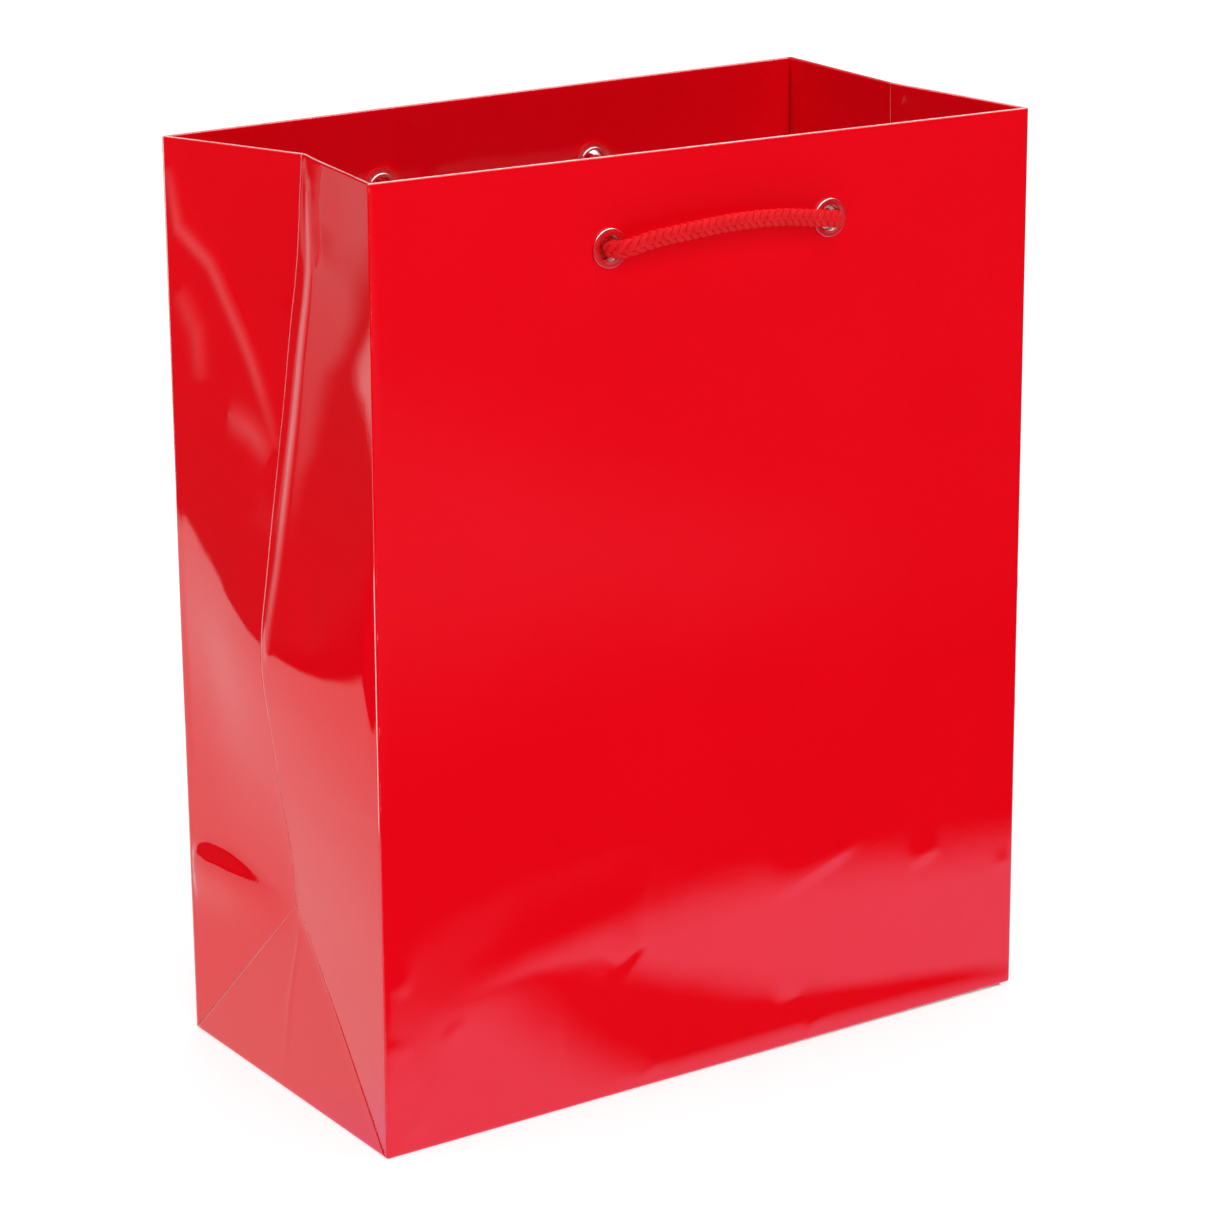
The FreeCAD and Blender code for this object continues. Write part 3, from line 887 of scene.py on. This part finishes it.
def make_eyelet(wall, side, sy):
    """Pressed ring: domed flange, straight neck and a rolled back edge."""
    node = "eyelet_" + wall + "_" + side
    low, high = box_mm(node)
    depth = high[1] - low[1]
    flange = (high[0] - low[0]) / 2
    back = FLANGE_OUT - depth
    profile = arc((flange - 0.45, 0.42), 0.42, -80, 80, 7)
    profile += arc((4.35, 0.05), 0.78, 70, 120, 5)
    profile += arc((BORE_R + 0.35, 0.33), 0.35, 110, 180, 6)
    profile += [(BORE_R, -0.6), (BORE_R, back + 0.5)]
    profile += arc((BORE_R + 0.5, back + 0.5), 0.5, 180, 360, 9)
    profile += [(NECK_R + 0.05, back + 0.55), (NECK_R, 0.0), (flange - 0.5, 0.0)]
    profile = np.array(profile)
    turn = np.linspace(0, 2 * math.pi, EYELET_SIDES, endpoint=False)
    centre = EYELETS[wall + "_" + side]
    radius, out = profile[:, 0][:, None], profile[:, 1][:, None]
    rings = np.stack([centre[0] + radius * np.cos(turn), sy * (HALF_D + out) + 0 * turn,
                      centre[2] - sy * radius * np.sin(turn)], axis=2)
    count = len(profile)
    index = np.arange(count * EYELET_SIDES).reshape(count, EYELET_SIDES)
    ahead, above = np.roll(index, -1, axis=1), np.roll(index, -1, axis=0)
    faces = np.stack([index, ahead, np.roll(above, -1, axis=1), above], axis=-1).reshape(-1, 4)
    faces = [tuple(f) for f in faces.tolist()]
    ring = make_object(node + "_ring", rings.reshape(-1, 3), faces, ["enamel"])
    ring.data.polygons.foreach_set("use_smooth", np.ones(len(faces), bool))
    ring.data.update()
    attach(ring, wall + "_wall")
    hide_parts(node)


# ---- cords --------------------------------------------------------------
def braided(name, line, body, nodes, detail, facing):
    verts, faces, coords = braid(line / MM, detail, np.array([0.0, facing, 0.0]))
    thing = make_object(name, verts, faces, ["yarn"])
    mesh = thing.data
    mesh.polygons.foreach_set("use_smooth", np.ones(len(faces), bool))
    corner = np.zeros(len(mesh.loops), np.int32)
    mesh.loops.foreach_get("vertex_index", corner)
    layer = mesh.uv_layers.new(name="braid")
    layer.data.foreach_set("uv", coords[corner].astype(np.float32).ravel())
    mesh.update()
    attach(thing, body)
    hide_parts(*nodes)
    return thing


def knot_line(top):
    """An overhand knot lying flat to the wall, between the hanging cord and its cut end."""
    x, y, z = top
    turns = [(0.0, 0.0, 0.0), (0.2, -0.4, -2.6), (-2.6, -1.9, -6.6), (-5.2, 0.0, -10.4), (-2.2, 2.2, -14.4),
             (3.0, 1.6, -13.6), (4.9, -1.0, -9.8), (2.2, -2.0, -6.0), (-2.4, 0.4, -5.4),
             (-3.4, 2.2, -8.8), (-0.6, 1.2, -12.6), (0.2, -0.6, -16.6), (0.0, 0.0, -20.4)]
    return [(x + dx * MM, y + dy * MM, z + dz * MM) for dx, dy, dz in turns]


def make_cords():
    for wall, sy in WALLS:
        wall_middle = (EYELETS[wall + "_left"][0] + EYELETS[wall + "_right"][0]) / 2 * MM
        node = "handle_" + wall
        route = placed(SPAN_ROUTE, wall_middle, -sy, sy)
        line = centreline(node, route)
        span = braided(node + "_braid", line, node + "_span", [node], SPAN_DETAIL, sy)
        for side, sx in SIDES:
            node = "tail_" + wall + "_" + side
            body = node + "_end"
            route = placed(TAIL_ROUTE, EYELETS[wall + "_" + side][0] * MM, sx, sy)
            line = centreline(node, route)
            tail = braided(node + "_braid", line, body, [node], TAIL_DETAIL, -sy)
            knot_node = "knot_" + wall + "_" + side
            loops = centreline(knot_node, knot_line(route[-1]))
            knot = braided(knot_node + "_braid", loops, body, [knot_node], TAIL_DETAIL, -sy)


# ---- carried-over CAD nodes ---------------------------------------------
def finish_cad():
    finishes = {"front_card": "board", "back_card": "board", "base_board": "board", "seam_tab": "paper"}
    for name in EYELETS:
        finishes["washer_" + name] = "enamel"
    for node, key in finishes.items():
        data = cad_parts[node].data
        data.materials.clear()
        data.materials.append(MATERIALS[key])


# ---- stage --------------------------------------------------------------
# What the gloss sees of the floor, in metres, painted as a glow only glossy rays see:
# a white sheet that ends near the bag, a paler backdrop behind it, a dim room and a
# painted shadow in front of the bag. Edges are (dark, bright).
SHEET_LEFT = (-0.356, -0.344)
SHEET_RIGHT = (0.62, 0.50)
SHEET_NEAR = (-0.205, -0.135)
SHEET_FAR = (1.02, 0.84)
BOW_MIDDLE = 0.077       # the near edge bows away on both sides of here
BOW = 2.6
BOW_MOST = 0.02
BACKDROP = 0.75
ROOM = 0.005
# Cool tint of the painted glow close in front of the bag.
COOL = (0.96, 0.90, 1.36, 1.0)


def floor_gloss(tree, where, x, y):
    """How bright the floor's painted glow is to a glossy ray."""
    wander = noise_node(tree, where, 9.0, 2.0, 0.5)
    wander = math_node(tree, "MULTIPLY", math_node(tree, "SUBTRACT", wander, 0.5), 0.07)
    aside = math_node(tree, "SUBTRACT", x, BOW_MIDDLE)
    curve = math_node(tree, "MINIMUM", math_node(tree, "MULTIPLY", aside, aside), BOW_MOST)
    near = math_node(tree, "SUBTRACT", y, math_node(tree, "MULTIPLY", curve, BOW))
    sheet = math_node(tree, "MULTIPLY", ramp(tree, x, *SHEET_LEFT), ramp(tree, x, *SHEET_RIGHT))
    sheet = math_node(tree, "MULTIPLY", sheet, ramp(tree, near, *SHEET_NEAR))
    depth = math_node(tree, "ADD", y, wander)
    sheet = math_node(tree, "MULTIPLY", sheet, ramp(tree, depth, *SHEET_FAR))
    backdrop = math_node(tree, "MULTIPLY", ramp(tree, x, -0.24, -0.12), ramp(tree, y, 0.3, 0.5))
    sheet = math_node(tree, "MAXIMUM", sheet, math_node(tree, "MULTIPLY", backdrop, BACKDROP))
    # A painted shadow: a dark wedge in the glow along the front of the bag.
    slant = math_node(tree, "MULTIPLY_ADD", x, -0.69, math_node(tree, "MULTIPLY_ADD", wander, 0.5, y))
    shade = math_node(tree, "MULTIPLY", ramp(tree, slant, -0.150, -0.122), ramp(tree, x, -0.045, -0.005))
    shade = math_node(tree, "MULTIPLY", shade, ramp(tree, y, -0.0555, -0.0625))
    sheet = math_node(tree, "MULTIPLY", sheet, math_node(tree, "MULTIPLY_ADD", shade, -0.97, 1.0))
    # The room: a paler far corner on the left, and a dim glow behind the camera.
    corner = math_node(tree, "MULTIPLY", ramp(tree, y, 1.0, 1.25), ramp(tree, x, -0.9, -0.6))
    behind = math_node(tree, "MULTIPLY_ADD", corner, 0.30, ramp(tree, y, 0.3, 0.6, 0.0, 0.04))
    before = math_node(tree, "MULTIPLY", ramp(tree, y, -0.30, -0.50), ramp(tree, x, 0.42, 0.22, 0.03, 0.13))
    room = math_node(tree, "ADD", math_node(tree, "ADD", behind, before), ROOM)
    return math_node(tree, "MAXIMUM", sheet, room)


def floor_material():
    """Pale floor to the eye and to soft light; to the gloss a painted glow of sheet and dim room, with a
    painted shadow.
    """
    material = bpy.data.materials.new("floor")
    material.use_nodes = True
    tree = material.node_tree
    tree.nodes.clear()
    output = tree.nodes.new("ShaderNodeOutputMaterial")
    plain = tree.nodes.new("ShaderNodeBsdfDiffuse")
    plain.inputs["Color"].default_value = (0.55, 0.56, 0.56, 1.0)
    where = object_place(tree)
    split = tree.nodes.new("ShaderNodeSeparateXYZ")
    tree.links.new(where, split.inputs[0])
    x, y = split.outputs[0], split.outputs[1]
    glow = tree.nodes.new("ShaderNodeEmission")
    tree.links.new(floor_gloss(tree, where, x, y), glow.inputs["Strength"])
    tint = mix_colour(tree, ramp(tree, y, 0.02, -0.06), (1.0, 1.0, 1.0, 1.0), COOL)
    tree.links.new(tint, glow.inputs["Color"])
    lift = tree.nodes.new("ShaderNodeEmission")
    aside = math_node(tree, "ABSOLUTE", y)
    tree.links.new(ramp(tree, aside, 0.1, 0.9, 0.60, 0.80), lift.inputs["Strength"])
    lit = tree.nodes.new("ShaderNodeAddShader")
    tree.links.new(plain.outputs[0], lit.inputs[0])
    tree.links.new(lift.outputs[0], lit.inputs[1])
    path = tree.nodes.new("ShaderNodeLightPath")
    mix = tree.nodes.new("ShaderNodeMixShader")
    tree.links.new(path.outputs["Is Glossy Ray"], mix.inputs[0])
    tree.links.new(lit.outputs[0], mix.inputs[1])
    tree.links.new(glow.outputs[0], mix.inputs[2])
    tree.links.new(mix.outputs[0], output.inputs["Surface"])
    return material


FLOOR_REACH = 6.0


def make_floor():
    reach = FLOOR_REACH
    corners = [(-reach, -reach, 0), (reach, -reach, 0), (reach, reach, 0), (-reach, reach, 0)]
    mesh = bpy.data.meshes.new("floor")
    mesh.from_pydata(corners, [], [(0, 1, 2, 3)])
    mesh.materials.append(floor_material())
    floor = bpy.data.objects.new("floor", mesh)
    bpy.context.scene.collection.objects.link(floor)


FILL = 0.30              # soft light from all round
CEILING = 7.0            # brightness in the gloss, straight up
WALLS_GLOW = 0.30        # and above the horizon


def background(tree, strength=None, colour=None):
    node = tree.nodes.new("ShaderNodeBackground")
    set_input(tree, node, "Strength", strength)
    set_input(tree, node, "Color", colour)
    return node.outputs[0]


def pick(tree, share, first, second):
    """Second shader where share is 1, first elsewhere."""
    node = tree.nodes.new("ShaderNodeMixShader")
    for i, socket in enumerate((share, first, second)):
        tree.links.new(socket, node.inputs[i])
    return node.outputs[0]


def make_world():
    """White to the eye, a dim room with a bright ceiling in the gloss, soft fill light."""
    world = bpy.data.worlds.new("studio")
    bpy.context.scene.world = world
    world.use_nodes = True
    tree = world.node_tree
    tree.nodes.clear()
    output = tree.nodes.new("ShaderNodeOutputWorld")
    split = tree.nodes.new("ShaderNodeSeparateXYZ")
    tree.links.new(tree.nodes.new("ShaderNodeTexCoord").outputs["Generated"], split.inputs[0])
    room = math_node(tree, "ADD", ramp(tree, split.outputs[2], 0.50, 0.80, 0.0, CEILING),
                     ramp(tree, split.outputs[2], 0.12, 0.30, 0.006, WALLS_GLOW))
    path = tree.nodes.new("ShaderNodeLightPath")
    unseen = pick(tree, path.outputs["Is Glossy Ray"], background(tree, FILL), background(tree, room))
    white = background(tree, colour=(1.0, 1.0, 1.0, 1.0))
    seen = pick(tree, path.outputs["Is Camera Ray"], unseen, white)
    tree.links.new(seen, output.inputs["Surface"])


# Name, place and size in metres, power in watts. The gloss doesn't see them.
LIGHTS = (("key", (-0.5, -1.7, 1.2), (1.2, 1.2), 18.5),
          ("side", (-1.8, 0.1, 1.0), (1.2, 1.0), 8.0),
          ("top", (0.2, 0.1, 1.9), (1.5, 1.5), 20.0))
AIM = Vector((0, 0, 0.12))


def area_light(name, place, size, power):
    data = bpy.data.lights.new(name, "AREA")
    data.shape = "RECTANGLE"
    data.size, data.size_y = size
    data.energy = power
    light = bpy.data.objects.new(name, data)
    light.location = place
    light.rotation_mode = "QUATERNION"
    light.rotation_quaternion = (AIM - Vector(place)).to_track_quat("-Z", "Y")
    light.visible_glossy = False
    light.visible_camera = False
    bpy.context.scene.collection.objects.link(light)


def make_lights():
    for name, place, size, power in LIGHTS:
        area_light(name, place, size, power)
    view = bpy.context.scene.view_settings
    view.view_transform = "Standard"
    view.look = "None"


# ---- assembly -----------------------------------------------------------
make_camera()
make_cords()
for wall, sy in WALLS:
    wall_skin(wall, sy)
    for side, sx in SIDES:
        make_eyelet(wall, side, sy)
for side, sx in SIDES:
    foot_skin(side, sx)
    for name, sy, wall in (("front", -1, "front"), ("rear", 1, "back")):
        gusset_skin(side, sx, name, sy)
make_base()
finish_cad()
make_floor()
make_world()
make_lights()
